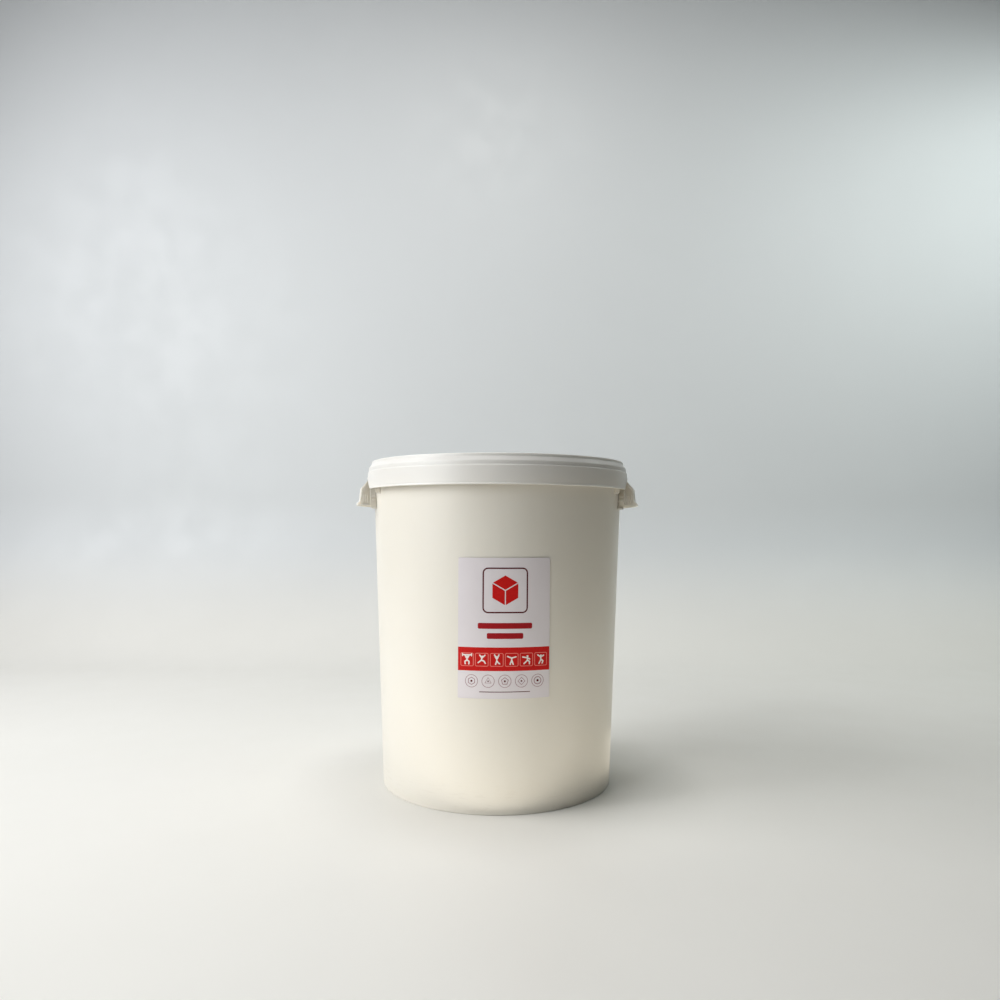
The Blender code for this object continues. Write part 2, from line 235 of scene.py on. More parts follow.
def add_piece(name, bm, material, body, nodes=()):
    """Turn a bmesh into a named piece that rides on a body and stands for CAD nodes."""
    bmesh.ops.recalc_face_normals(bm, faces=bm.faces)
    mesh = bpy.data.meshes.new(name)
    bm.to_mesh(mesh)
    bm.free()
    mesh.materials.append(material)
    mesh.shade_smooth()
    mesh.set_sharp_from_angle(angle=math.radians(SHARP_ANGLE))
    piece = bpy.data.objects.new(name, mesh)
    bpy.context.collection.objects.link(piece)
    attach(piece, body)
    if nodes:
        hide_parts(*nodes)
    return piece


# --- materials ---------------------------------------------------------------------------------

class Shader:
    """A material's node tree, with short calls for the nodes used here."""

    def __init__(self, name, roughness):
        self.material = bpy.data.materials.new(name)
        self.material.use_nodes = True
        self.tree = self.material.node_tree
        self.out = self.tree.nodes["Principled BSDF"]
        self.out.inputs["Roughness"].default_value = roughness
        self.place = self.node("ShaderNodeTexCoord").outputs["Object"]

    def node(self, kind, **settings):
        made = self.tree.nodes.new(kind)
        for key, value in settings.items():
            setattr(made, key, value)
        return made

    def link(self, source, target):
        self.tree.links.new(source, target)

    def noise(self, scale, detail=3.0, stretch=None, roughness=0.55, distortion=0.0):
        """Noise with this many features per metre; stretch scales the coordinates first."""
        place = self.place
        if stretch:
            mapping = self.node("ShaderNodeMapping")
            mapping.inputs["Scale"].default_value = stretch
            self.link(place, mapping.inputs["Vector"])
            place = mapping.outputs["Vector"]
        made = self.node("ShaderNodeTexNoise")
        made.inputs["Scale"].default_value = scale
        made.inputs["Detail"].default_value = detail
        made.inputs["Roughness"].default_value = roughness
        made.inputs["Distortion"].default_value = distortion
        self.link(place, made.inputs["Vector"])
        return made.outputs["Fac"]

    def ramp(self, value, start, end, low=0.0, high=1.0):
        made = self.node("ShaderNodeMapRange", interpolation_type="SMOOTHSTEP")
        for socket, number in zip(("From Min", "From Max", "To Min", "To Max"), (start, end, low, high)):
            made.inputs[socket].default_value = number
        self.link(value, made.inputs["Value"])
        return made.outputs["Result"]

    def height(self):
        split = self.node("ShaderNodeSeparateXYZ")
        self.link(self.place, split.inputs["Vector"])
        return split.outputs["Z"]

    def math(self, operation, first, second):
        made = self.node("ShaderNodeMath", operation=operation)
        for socket, value in zip(made.inputs, (first, second)):
            if isinstance(value, (int, float)):
                socket.default_value = value
            else:
                self.link(value, socket)
        return made.outputs["Value"]

    def mix(self, share, first, second):
        """Colour between two colours, or between a colour and the output of another mix."""
        made = self.node("ShaderNodeMix", data_type="RGBA")
        self.link(share, made.inputs["Factor"])
        for name, value in (("A", first), ("B", second)):
            socket = [s for s in made.inputs if s.name == name and s.type == "RGBA"][0]
            if isinstance(value, tuple):
                socket.default_value = (*value, 1.0)
            else:
                self.link(value, socket)
        return [s for s in made.outputs if s.type == "RGBA"][0]

    def bumps(self, layers):
        """Bump from (value, distance, strength) layers, each over the one before."""
        normal = None
        for value, distance, strength in layers:
            made = self.node("ShaderNodeBump")
            made.inputs["Distance"].default_value = distance
            made.inputs["Strength"].default_value = strength
            self.link(value, made.inputs["Height"])
            if normal:
                self.link(normal, made.inputs["Normal"])
            normal = made.outputs["Normal"]
        self.link(normal, self.out.inputs["Normal"])

    def colour(self, socket):
        self.link(socket, self.out.inputs["Base Color"])

    def rough(self, socket):
        self.link(socket, self.out.inputs["Roughness"])

    def set(self, **values):
        for name, value in values.items():
            self.out.inputs[name.replace("_", " ")].default_value = value


def plastic(name, base, shade, scuff, gloss, scuff_none, scuff_most, glow=0.25):
    """Moulded polypropylene: slight flow marks, faint waviness, fine scratches and a handled zone."""
    look = Shader(name, gloss)
    cloud = look.noise(5.0, detail=2.0)
    flow = look.noise(20.0, detail=2.0, stretch=(1.0, 1.0, 0.12))
    speck = look.noise(420.0, detail=2.0)
    scratch = look.noise(60.0, detail=2.0, stretch=(1.0, 1.0, 6.0), distortion=0.6)
    tint = look.mix(look.ramp(cloud, 0.36, 0.66), base, shade)
    worn = look.math("MULTIPLY", look.ramp(look.height(), scuff_none, scuff_most),
                     look.ramp(scratch, 0.56, 0.70))
    specks = look.ramp(speck, 0.72, 0.80, 0.0, 0.25)
    look.colour(look.mix(look.math("MAXIMUM", look.math("MULTIPLY", worn, 0.30), specks), tint, scuff))
    grain = look.ramp(look.noise(40.0, detail=3.0), 0.3, 0.75, gloss - 0.03, gloss + 0.05)
    look.rough(look.math("ADD", grain, look.math("MULTIPLY", worn, 0.10)))
    fine = look.noise(300.0, detail=1.0)
    look.bumps(((cloud, 0.0008, 0.35), (flow, 0.0001, 0.25), (fine, 0.00001, 0.10)))
    look.set(IOR=1.49, Subsurface_Weight=glow, Subsurface_Radius=(0.006, 0.0055, 0.005),
             Subsurface_Scale=1.0)
    return look.material


def paper(name):
    """Coated label paper: smooth, with faint fibres and a faint cloudy tone."""
    look = Shader(name, 0.42)
    fibre = look.noise(700.0, detail=4.0, stretch=(1.0, 1.0, 0.4))
    cloud = look.noise(30.0, detail=3.0)
    look.colour(look.mix(look.ramp(cloud, 0.3, 0.7), (0.735, 0.69, 0.71), (0.72, 0.675, 0.695)))
    look.rough(look.ramp(fibre, 0.3, 0.7, 0.36, 0.48))
    look.bumps(((cloud, 0.0005, 0.35), (fibre, 0.00003, 0.4)))
    return look.material


def ink(name, base, shade, roughness=0.38):
    look = Shader(name, roughness)
    mottle = look.noise(450.0, detail=3.0)
    look.colour(look.mix(look.ramp(mottle, 0.35, 0.7), base, shade))
    look.rough(look.ramp(look.noise(200.0), 0.3, 0.7, roughness - 0.05, roughness + 0.08))
    look.bumps(((look.noise(300.0, detail=2.0), 0.00001, 0.2),))
    look.set(Specular_IOR_Level=0.2)
    return look.material


def chalk_look(name, base, shade, painted_hollow_shade):
    """Dry magnesium carbonate: matt, dusty and pitted, with painted shade greying the hollows of its
    lumps.
    """
    look = Shader(name, 0.95)
    cloud = look.noise(40.0, detail=5.0, roughness=0.65)
    grain = look.noise(1400.0, detail=4.0, roughness=0.7)
    lumps = look.noise(260.0, detail=5.0, roughness=0.7)
    tint = look.mix(look.ramp(cloud, 0.35, 0.68), base, shade)
    # painted shade: the colour turns grey where the bump's lumps sink, in their hollows
    look.colour(look.mix(look.ramp(lumps, 0.30, 0.44, 0.55, 0.0), tint, painted_hollow_shade))
    look.rough(look.ramp(grain, 0.3, 0.7, 0.88, 1.0))
    look.bumps(((lumps, 0.0012, 0.8), (grain, 0.0002, 0.7)))
    look.set(Specular_IOR_Level=0.2)
    return look.material


TUB_COLOURS = ((0.80, 0.755, 0.665), (0.785, 0.74, 0.65), (0.68, 0.63, 0.54))
LID_COLOURS = ((0.79, 0.765, 0.715), (0.775, 0.75, 0.70), (0.69, 0.665, 0.61))
TUB_GLOSS = 0.35
LID_GLOSS = 0.34
GRIP_GLOW = 0.7                   # the grips' thin walls let more light through

# The last two numbers are the heights between which the scuffs grow, from none to most
TUB_PLASTIC = plastic("tub_plastic_look", *TUB_COLOURS, TUB_GLOSS, 0.05, 0.0)
LID_PLASTIC = plastic("lid_plastic_look", *LID_COLOURS, LID_GLOSS, 0.370, 0.397)
GRIP_PLASTIC = plastic("grip_plastic_look", *TUB_COLOURS, TUB_GLOSS, 0.346, 0.340, GRIP_GLOW)
PAPER = paper("label_paper_look")
MAROON = ink("maroon_ink", (0.080, 0.003, 0.006), (0.100, 0.005, 0.008))
DARK_RED = ink("dark_red_ink", (0.32, 0.006, 0.010), (0.36, 0.008, 0.012))
RED = ink("red_ink", (0.57, 0.008, 0.006), (0.52, 0.006, 0.005))
PALE_RED = ink("pale_red_ink", (0.78, 0.22, 0.18), (0.74, 0.19, 0.16))
WHITE = ink("white_ink", (0.86, 0.80, 0.76), (0.82, 0.76, 0.72))
GREY_RED = ink("grey_red_ink", (0.30, 0.15, 0.17), (0.36, 0.19, 0.21))
# The third colour of each chalk is painted shade for the hollows of its bump
CHALK = chalk_look("crushed_chalk_look", (0.90, 0.90, 0.89), (0.86, 0.86, 0.85), (0.74, 0.74, 0.73))
BLOCK = chalk_look("pressed_chalk_look", (0.93, 0.93, 0.92), (0.89, 0.89, 0.88), (0.80, 0.80, 0.79))


# --- tub ---------------------------------------------------------------------------------------

GUSSET_ANGLES = (22.0, 26.0)      # to each side of a hand grip's middle
GUSSET_BOTTOM = 0.3552
GUSSET_THICKNESS = 0.0011
GATE_RADIUS = 0.0030


def tub_profile():
    """From under the base, up the outer side, over the rim and down inside."""
    foot_outer = wall_radius(0)
    foot_inner = foot_outer - FOOT_EDGE - FOOT_RING_WIDTH
    bead_middle = (BEAD_BOTTOM + BEAD_TOP) / 2
    rim_outer = wall_radius(RIM_TOP) - GAP
    rim_inner = wall_radius(RIM_TOP) - WALL
    return rounded([
        (0, BASE_RECESS - 0.0008, 0),
        (GATE_RADIUS, BASE_RECESS - 0.0008, 0.0003),
        (GATE_RADIUS + 0.0006, BASE_RECESS, 0.0003),
        (0.060, BASE_RECESS, 0.0004),
        (0.0604, BASE_RECESS - 0.0004, 0.0003),
        (0.0628, BASE_RECESS - 0.0004, 0.0003),
        (0.0632, BASE_RECESS, 0.0004),
        (foot_inner - 0.0015, BASE_RECESS, 0.0008),
        (foot_inner, 0, 0.0007),
        (foot_outer, 0, FOOT_EDGE),
        (wall_radius(COLLAR_BOTTOM), COLLAR_BOTTOM, 0.0014),
        (COLLAR_RADIUS, COLLAR_BOTTOM, 0.0005),
        (COLLAR_RADIUS, COLLAR_TOP, 0.0005),
        (wall_radius(COLLAR_TOP), COLLAR_TOP, 0.0008),
        (wall_radius(BEAD_BOTTOM), BEAD_BOTTOM, 0.0010),
        (BEAD_RADIUS, bead_middle - 0.0005, 0.0008),
        (BEAD_RADIUS, bead_middle + 0.0005, 0.0008),
        (wall_radius(BEAD_TOP), BEAD_TOP, 0.0010),
        (rim_outer, RIM_TOP, 0.0005),
        (rim_inner, RIM_TOP, 0.0005),
        (wall_radius(BASE_TOP) - WALL, BASE_TOP, 0.0035),
        (0.0632, BASE_TOP, 0),
        (0, BASE_TOP, 0),
    ])


def build_tub():
    bm = bmesh.new()
    turned(bm, tub_profile(), even_angles())
    gusset = [
        (wall_radius(GUSSET_BOTTOM) - 0.0006, GUSSET_BOTTOM),
        (wall_radius(GUSSET_BOTTOM) + 0.0034, GUSSET_BOTTOM + 0.0022),
        (COLLAR_RADIUS - 0.0014, COLLAR_BOTTOM + 0.0004),
        (wall_radius(COLLAR_BOTTOM) - 0.0006, COLLAR_BOTTOM + 0.0004),
    ]
    for side in (0, 180):
        for angle in GUSSET_ANGLES:
            for sign in (-1, 1):
                plate(bm, gusset, side + sign * angle, GUSSET_THICKNESS, 0.0003)
    add_piece("tub_shell", bm, TUB_PLASTIC, "tub", ["tub"])


# --- hand grips --------------------------------------------------------------------------------

def grip_reach(height):
    share = (height - ROOF_FOOT) / (ROOF_TOP - ROOF_FOOT)
    return GRIP_REACH + (ROOF_REACH - GRIP_REACH) * min(max(share, 0.0), 1.0)


def inset(outline, distance):
    """A closed outline with its edges moved inwards; the outline runs clockwise in (radius, height)."""
    moved = []
    for i, point in enumerate(outline):
        before = (point - outline[i - 1]).normalized()
        after = (outline[(i + 1) % len(outline)] - point).normalized()
        along = (before + after).normalized()
        moved.append(point + Vector((along.y, -along.x)) * distance)
    return moved


def build_grip(side, heading):
    """Hood with two end walls, all in one body: the walls keep the full outline, the middle is hollow."""
    base = wall_radius(LEDGE_BOTTOM) + GAP
    outside = rounded([
        (base, LEDGE_BOTTOM, 0),
        (wall_radius(LEDGE_TOP) + GAP, LEDGE_TOP, 0),
        (COLLAR_RADIUS + GAP, LEDGE_TOP, 0.0002),
        (COLLAR_RADIUS + GAP, ROOF_TOP, 0.0004),
        (ROOF_START, ROOF_TOP - 0.0004, 0.0012),
        (FLAP_TOP_RADIUS, ROOF_FOOT, 0.0016),
        (FLAP_FOOT_RADIUS, FLAP_FOOT, 0.0016),
        (FLANGE_RADIUS, GRIP_BOTTOM + FLANGE_HEIGHT, 0.0007),
        (FLANGE_RADIUS, GRIP_BOTTOM, 0.0007),
        (FLAP_FOOT_RADIUS - GRIP_WALL, GRIP_BOTTOM, 0),
    ])
    pocket = rounded([
        (FLAP_FOOT_RADIUS - GRIP_WALL, GRIP_BOTTOM, 0),
        (FLAP_FOOT_RADIUS - GRIP_WALL, FLAP_FOOT, 0.0010),
        (FLAP_TOP_RADIUS - GRIP_WALL, ROOF_FOOT - GRIP_WALL / 2, 0.0014),
        (ROOF_START + GAP, LEDGE_BOTTOM, 0.0012),
        (base, LEDGE_BOTTOM, 0),
    ])[1:-1]
    column = rounded([
        (FLAP_FOOT_RADIUS - GRIP_WALL, GRIP_BOTTOM, 0),
        (COLUMN_RADIUS, GRIP_BOTTOM, 0.0012),
        (COLUMN_FOOT_RADIUS, COLUMN_BOTTOM, 0.0010),
        (wall_radius(COLUMN_BOTTOM) + GAP, COLUMN_BOTTOM, 0.0003),
        (base, LEDGE_BOTTOM, 0),
    ])[1:-1]
    bm = bmesh.new()

    def ring(points, place):
        return [bm.verts.new(at(r, z, heading + place(z))) for r, z in points]

    def end_rings(sign):
        """From the end's rounded outer face to the inner face, where the pocket starts."""
        rings = []
        for back, shrink in END_ROUNDING:
            rings.append(ring(inset(outside + column, -shrink), lambda z: sign * (grip_reach(z) - back)))
        inner = ring(outside + column + pocket, lambda z: sign * (grip_reach(z) - GRIP_END_WALL))
        rings.append(inner[:len(outside) + len(column)])
        bm.faces.new(rings[0])
        for first, second in zip(rings, rings[1:]):
            bridge(bm, first, second, closed=True)
        shell, web, hollow = inner[:len(outside)], inner[len(outside):-len(pocket)], inner[-len(pocket):]
        bm.faces.new([shell[-1], *web, shell[0], *reversed(hollow)])
        return shell + hollow

    middle = [end_rings(-1)]
    for step in range(1, GRIP_STEPS):
        share = 2 * step / GRIP_STEPS - 1
        middle.append(ring(outside + pocket, lambda z: share * (grip_reach(z) - GRIP_END_WALL)))
    middle.append(end_rings(1))
    for first, second in zip(middle, middle[1:]):
        bridge(bm, first, second, closed=True)

    for sign in (-1, 1):
        end = heading + sign * GRIP_REACH
        low_side, high_side = sorted((sign * RIB_PROUD, sign * RIB_SUNK))
        for radius in FLAP_RIB_RADII:
            block(bm, end, (radius - 0.0004, low_side, GRIP_BOTTOM + 0.0022),
                  (radius + 0.0004, high_side, FLAP_RIB_TOP), 0.00022)
        for height in COLUMN_RIB_HEIGHTS:
            block(bm, end, (wall_radius(height) + 0.0012, low_side, height - 0.0008),
                  (COLUMN_FOOT_RADIUS, high_side, height + 0.0008), 0.0003)
        block(bm, end, (COLUMN_RADIUS - 0.0005, low_side, GRIP_BOTTOM + 0.001),
              (COLUMN_RADIUS + 0.0003, high_side, ROOF_FOOT - 0.001), 0.00022)
        block(bm, end, (COLUMN_RADIUS, low_side, GRIP_BOTTOM + 0.0004),
              (FLAP_FOOT_RADIUS - 0.0004, high_side, GRIP_BOTTOM + 0.0016), 0.0003)
    add_piece(f"hand_grip_shell_{side}", bm, GRIP_PLASTIC, "tub", [f"hand_grip_{side}"])


# --- lid ---------------------------------------------------------------------------------------

LID_STEP_COARSE = 1.5
LID_STEP_FINE = 0.25
NOTCH_ZONE = (13.0, 21.5)
STACKING_RIBS = 48


def lid_angles():
    """Columns every 1.5 degrees, and every 0.25 degrees where a notch's edge slants."""
    angles = set()
    for quarter in (0, 180):
        for sign in (-1, 1):
            count = round((NOTCH_ZONE[1] - NOTCH_ZONE[0]) / LID_STEP_FINE)
            for i in range(count + 1):
                angles.add(round((quarter + sign * (NOTCH_ZONE[0] + i * LID_STEP_FINE)) % 360, 4))
    for i in range(round(360 / LID_STEP_COARSE)):
        angle = i * LID_STEP_COARSE
        side = abs((angle + 90) % 180 - 90)
        if not NOTCH_ZONE[0] - 0.3 < side < NOTCH_ZONE[1] + 0.3:
            angles.add(round(angle, 4))
    return sorted(angles)


def notch_line(side):
    """Height of the skirt's lower edge at this angle from a grip's middle."""
    if side <= NOTCH_EDGE[0][0]:
        return NOTCH_EDGE[0][1]
    for (a, low), (b, high) in zip(NOTCH_EDGE, NOTCH_EDGE[1:]):
        if side <= b:
            return low + (high - low) * (side - a) / (b - a)
    return NOTCH_EDGE[-1][1]


def skirt_bottom(angle):
    side = abs((angle + 90) % 180 - 90)
    samples = [notch_line(side + NOTCH_SOFTNESS * k / 4) for k in range(-4, 5)]
    return sum(samples) / len(samples)


def lift_skirt(radius, height, angle):
    """Raise the skirt's foot over a hand grip: the lip keeps its height, the wall above it shortens."""
    bottom = skirt_bottom(angle)
    lip_top = SKIRT_BOTTOM + LIP_HEIGHT * 1.6
    if radius < HOOK_RADIUS + 0.0005 or height >= WARP_TOP or bottom <= SKIRT_BOTTOM + TINY:
        return radius, height
    raised_lip = min(bottom + LIP_HEIGHT * 1.6, WARP_TOP - 0.0003)
    if height <= lip_top:
        lifted = bottom + (height - SKIRT_BOTTOM) * (raised_lip - bottom) / (lip_top - SKIRT_BOTTOM)
    else:
        lifted = raised_lip + (height - lip_top) * (WARP_TOP - raised_lip) / (WARP_TOP - lip_top)
    return radius, lifted


def lid_profile():
    """From the middle of the panel, over the ring, down the skirt, then back along the underside."""
    inner_skirt = LID_RADIUS - LID_WALL
    return rounded([
        (0, PANEL_TOP + PANEL_STEP - 0.0004, 0),
        (GATE_RADIUS, PANEL_TOP + PANEL_STEP - 0.0004, 0.0003),
        (GATE_RADIUS + 0.0005, PANEL_TOP + PANEL_STEP, 0.0003),
        (PANEL_STEP_RADIUS, PANEL_TOP + PANEL_STEP, 0.0009),
        (PANEL_STEP_RADIUS + 0.0012, PANEL_TOP, 0.0009),
        (RING_INNER - 0.0012, PANEL_TOP, 0.0030),
        (RING_INNER, LID_TOP, 0.0012),
        (RING_OUTER - 0.0003, LID_TOP, 0.0011),
        (RING_OUTER, SHOULDER_TOP, 0.0006),
        (*KNEE, 0.0006),
        (KNEE[0] + 0.0002, SHOULDER_BOTTOM + 0.0009, 0.0004),
        (LID_RADIUS - 0.0002, SHOULDER_BOTTOM, 0.0005),
        (LID_RADIUS, SKIRT_BOTTOM + LIP_HEIGHT * 1.5, 0.0004),
        (LIP_RADIUS, SKIRT_BOTTOM + LIP_HEIGHT * 0.8, 0.0004),
        (LIP_RADIUS, SKIRT_BOTTOM, 0.0004),
        (inner_skirt, SKIRT_BOTTOM, 0.0005),
        (inner_skirt - 0.0004, 0.3740, 0),
        (inner_skirt - 0.0006, 0.3782, 0),
        (inner_skirt - 0.0006, HOOK_HEIGHT - 0.0018, 0.0004),
        (HOOK_RADIUS, HOOK_HEIGHT - 0.0006, 0.0006),
        (HOOK_RADIUS, HOOK_HEIGHT + 0.0006, 0.0006),
        (inner_skirt - 0.0006, HOOK_HEIGHT + 0.0018, 0.0004),
        (KNEE[0] - LID_WALL, KNEE[1] - 0.0006, 0.0010),
        (RING_OUTER - LID_WALL, SHOULDER_TOP - 0.0004, 0.0006),
        (RING_OUTER - LID_WALL, CHANNEL_TOP, 0.0006),
        (PLUG_RADIUS, CHANNEL_TOP, 0.0006),
        (PLUG_RADIUS - 0.0006, PANEL_TOP, 0.0006),
        (PLUG_RADIUS - 0.0020, PANEL_TOP - LID_WALL, 0.0008),
        (PANEL_STEP_RADIUS, PANEL_TOP - LID_WALL, 0.0009),
        (PANEL_STEP_RADIUS - 0.0012, PANEL_TOP - LID_WALL + PANEL_STEP, 0.0009),
        (0, PANEL_TOP - LID_WALL + PANEL_STEP, 0),
    ])


def build_lid():
    bm = bmesh.new()
    turned(bm, lid_profile(), lid_angles(), lift_skirt)
    rib = [
        (RING_INNER - 0.0052, PANEL_TOP - 0.0004),
        (RING_INNER - 0.0024, PANEL_TOP + 0.0046),
        (RING_INNER + 0.0004, PANEL_TOP + 0.0080),
        (RING_INNER + 0.0004, PANEL_TOP - 0.0004),
    ]
    for i in range(STACKING_RIBS):
        plate(bm, rib, 360 * (i + 0.5) / STACKING_RIBS, 0.0010, 0.00025)
    add_piece("lid_shell", bm, LID_PLASTIC, "lid", ["lid"])


# --- label -------------------------------------------------------------------------------------

LABEL_HEIGHT = LABEL_TOP - LABEL_BOTTOM
CUT_WIDTH = 0.0022                # flat shapes are cut this narrow, so that they follow the wall
INK = 0.00004                     # thickness of a printed layer
MM = 0.001


def disc(u, v, radius, count=32, start=0.0):
    """Regular polygon, round when count is high; start turns it, in degrees."""
    angles = [math.radians(start) + 2 * math.pi * i / count for i in range(count)]
    return [(u + radius * math.cos(angle), v + radius * math.sin(angle)) for angle in angles]


def panel(u, v, width, height, radius, count=5):
    """Rounded rectangle about (u, v)."""
    points = []
    for corner in range(4):
        x = (1, -1, -1, 1)[corner] * (width / 2 - radius)
        y = (1, 1, -1, -1)[corner] * (height / 2 - radius)
        for i in range(count + 1):
            angle = math.pi / 2 * (corner + i / count)
            points.append((u + x + radius * math.cos(angle), v + y + radius * math.sin(angle)))
    return points


def band(outer, inner):
    """Strip of quads between two outlines with the same number of points."""
    count = len(outer)
    return [[outer[i], outer[(i + 1) % count], inner[(i + 1) % count], inner[i]] for i in range(count)]


def circle_line(u, v, radius, width, count=48):
    return band(disc(u, v, radius, count), disc(u, v, radius - width, count))


def box_line(u, v, size, radius, width):
    inside = size - 2 * width
    return band(panel(u, v, size, size, radius), panel(u, v, inside, inside, radius - width))


def stroke(p, q, width, count=6):
    """Line with round ends from p to q."""
    angle = math.atan2(q[1] - p[1], q[0] - p[0])
    points = []
    for centre, start in ((q, -math.pi / 2), (p, math.pi / 2)):
        for i in range(count + 1):
            turn = angle + start + math.pi * i / count
            points.append((centre[0] + width / 2 * math.cos(turn), centre[1] + width / 2 * math.sin(turn)))
    return points


def wrap(name, groups, low, thickness, material, nodes=()):
    """Flat shapes bent round the wall: groups of outlines, in millimetres from the label's middle.

    The outlines of one group join where they meet; each group lies a hair above the one before.
    """
    bm = bmesh.new()
    for level, outlines in enumerate(groups):
        part = bmesh.new()
        for outline in outlines:
            part.faces.new([part.verts.new((u * MM, v * MM, level * 2e-6)) for u, v in outline])
        bmesh.ops.remove_doubles(part, verts=part.verts, dist=1e-7)
        first = math.floor(min(vert.co.x for vert in part.verts) / CUT_WIDTH)
        last = math.ceil(max(vert.co.x for vert in part.verts) / CUT_WIDTH)
        for i in range(first, last + 1):
            bmesh.ops.bisect_plane(part, geom=[*part.verts, *part.edges, *part.faces], dist=1e-8,
                                   plane_co=(i * CUT_WIDTH + 1e-5, 0, 0), plane_no=(1, 0, 0))
        rims = [edge for edge in part.edges if edge.is_boundary]
        flats = list(part.faces)
        lifted = {vert: part.verts.new(vert.co + Vector((0, 0, thickness))) for vert in list(part.verts)}
        for face in flats:
            part.faces.new([lifted[vert] for vert in face.verts])
        for edge in rims:
            a, b = edge.verts
            part.faces.new((a, b, lifted[b], lifted[a]))
        spare = bpy.data.meshes.new("spare")
        part.to_mesh(spare)
        part.free()
        bm.from_mesh(spare)
        bpy.data.meshes.remove(spare)
    for vert in bm.verts:
        u, v, lift = vert.co
        height = (LABEL_BOTTOM + LABEL_TOP) / 2 + v
        angle = LABEL_HEADING + math.degrees(u / wall_radius(height))
        vert.co = at(wall_radius(height) + GAP + low + lift, height, angle)
    return add_piece(name, bm, material, "tub", nodes)


ART_SHIFT = 0.8                   # the print sits this far right of the label's middle, in millimetres
EMBLEM_CENTRE = (ART_SHIFT, 41.4)
EMBLEM_FRAME = 50.0               # a plain rounded square
EMBLEM_CORNER = 6.0
EMBLEM_LINE = 1.6
BLOCK_RADIUS = 17.0               # with a plain block of chalk in it
BLOCK_GAP = 1.0
BARS = ((2.6, 60.0), (-8.4, 40.0))    # height and length of the two plain bars under the emblem
BAR_HEIGHT = 6.4
BAR_CORNER = 1.6
RULE_MIDDLE = -69.6
RULE_LENGTH = 56.0
BAND_MIDDLE = -33.8
BAND_HEIGHT = 25.8
ICON_PITCH = 16.35
ICON_SIZE = 14.8
FIGURE_SIZE = 5.6                 # half a figure's height
FIGURE_RAISE = 0.2                # above the middle of its frame
HEAD_RADIUS = 1.15
LIMB_WIDTH = 1.45
MARK_MIDDLE = -57.8
MARK_PITCH = 18.3
MARK_RADIUS = 7.1
MARK_SIDES = (6, 3, 5, 4, 24)      # each small mark is a plain polygon

# Sport figures as head and limbs, in units of half a figure's height; the last one lifts a barbell
BARBELL_HALF = 0.90
BARBELL_HEIGHT = 0.86
FIGURES = (
    ((0.02, 0.62), ((-0.62, 0.78), (0.0, 0.34)), ((0.0, 0.34), (0.60, 0.66)),
     ((0.0, 0.34), (0.04, -0.14)), ((0.04, -0.14), (-0.34, -0.88)), ((0.04, -0.14), (0.48, -0.42)),
     ((0.48, -0.42), (0.30, -0.86))),
    ((0.20, 0.60), ((-0.74, 0.46), (0.16, 0.30)), ((0.16, 0.30), (0.66, 0.04)),
     ((0.16, 0.30), (0.20, -0.18)), ((0.20, -0.18), (-0.50, -0.84)), ((0.20, -0.18), (0.62, -0.44)),
     ((0.62, -0.44), (0.60, -0.90))),
    ((0.0, -0.42), ((-0.30, -0.92), (-0.06, -0.22)), ((0.30, -0.92), (0.06, -0.22)),
     ((0.0, -0.22), (0.0, 0.30)), ((0.0, 0.30), (-0.84, 0.62)), ((0.0, 0.30), (0.84, 0.54))),
    ((0.0, 0.50), ((-0.42, 0.94), (-0.14, 0.26)), ((0.42, 0.94), (0.14, 0.26)),
     ((0.0, 0.26), (0.0, -0.20)), ((0.0, -0.20), (-0.22, -0.92)), ((0.0, -0.20), (0.26, -0.56)),
     ((0.26, -0.56), (0.56, -0.80))),
    ((0.10, 0.54), ((-0.40, 0.86), (0.04, 0.30)), ((0.04, 0.30), (0.62, 0.84)),
     ((0.04, 0.30), (-0.08, -0.12)), ((-0.08, -0.12), (-0.70, -0.62)), ((-0.08, -0.12), (0.44, -0.30)),
     ((0.44, -0.30), (0.70, -0.74))),
    ((0.0, 0.52), ((-BARBELL_HALF, BARBELL_HEIGHT), (BARBELL_HALF, BARBELL_HEIGHT)),
     ((-0.46, 0.86), (-0.16, 0.28)), ((0.46, 0.86), (0.16, 0.28)), ((0.0, 0.28), (0.0, -0.16)),
     ((0.0, -0.16), (-0.42, -0.44)), ((-0.42, -0.44), (-0.36, -0.92)),
     ((0.0, -0.16), (0.42, -0.44)), ((0.42, -0.44), (0.36, -0.92))),
)


def block_emblem():
    """A cube seen from a corner: three faces with gaps between them."""
    u, v = EMBLEM_CENTRE
    turns = [math.radians(degrees) for degrees in range(30, 390, 60)]
    corners = [(u + BLOCK_RADIUS * math.cos(turn), v + BLOCK_RADIUS * math.sin(turn)) for turn in turns]
    faces = []
    for i in (0, 2, 4):
        loop = [corners[i], corners[i + 1], corners[(i + 2) % 6], (u, v)]
        middle = (sum(p[0] for p in loop) / 4, sum(p[1] for p in loop) / 4)
        keep = 1 - BLOCK_GAP / (BLOCK_RADIUS * 0.75)
        faces.append([(middle[0] + (p[0] - middle[0]) * keep, middle[1] + (p[1] - middle[1]) * keep)
                      for p in loop])
    return faces


def figure(u, v, size, parts):
    head, *limbs = parts
    groups = [[disc(u + head[0] * size, v + head[1] * size, HEAD_RADIUS, 18)]]
    for p, q in limbs:
        ends = [(u + x * size, v + y * size) for x, y in (p, q)]
        groups.append([stroke(*ends, LIMB_WIDTH)])
    return groups


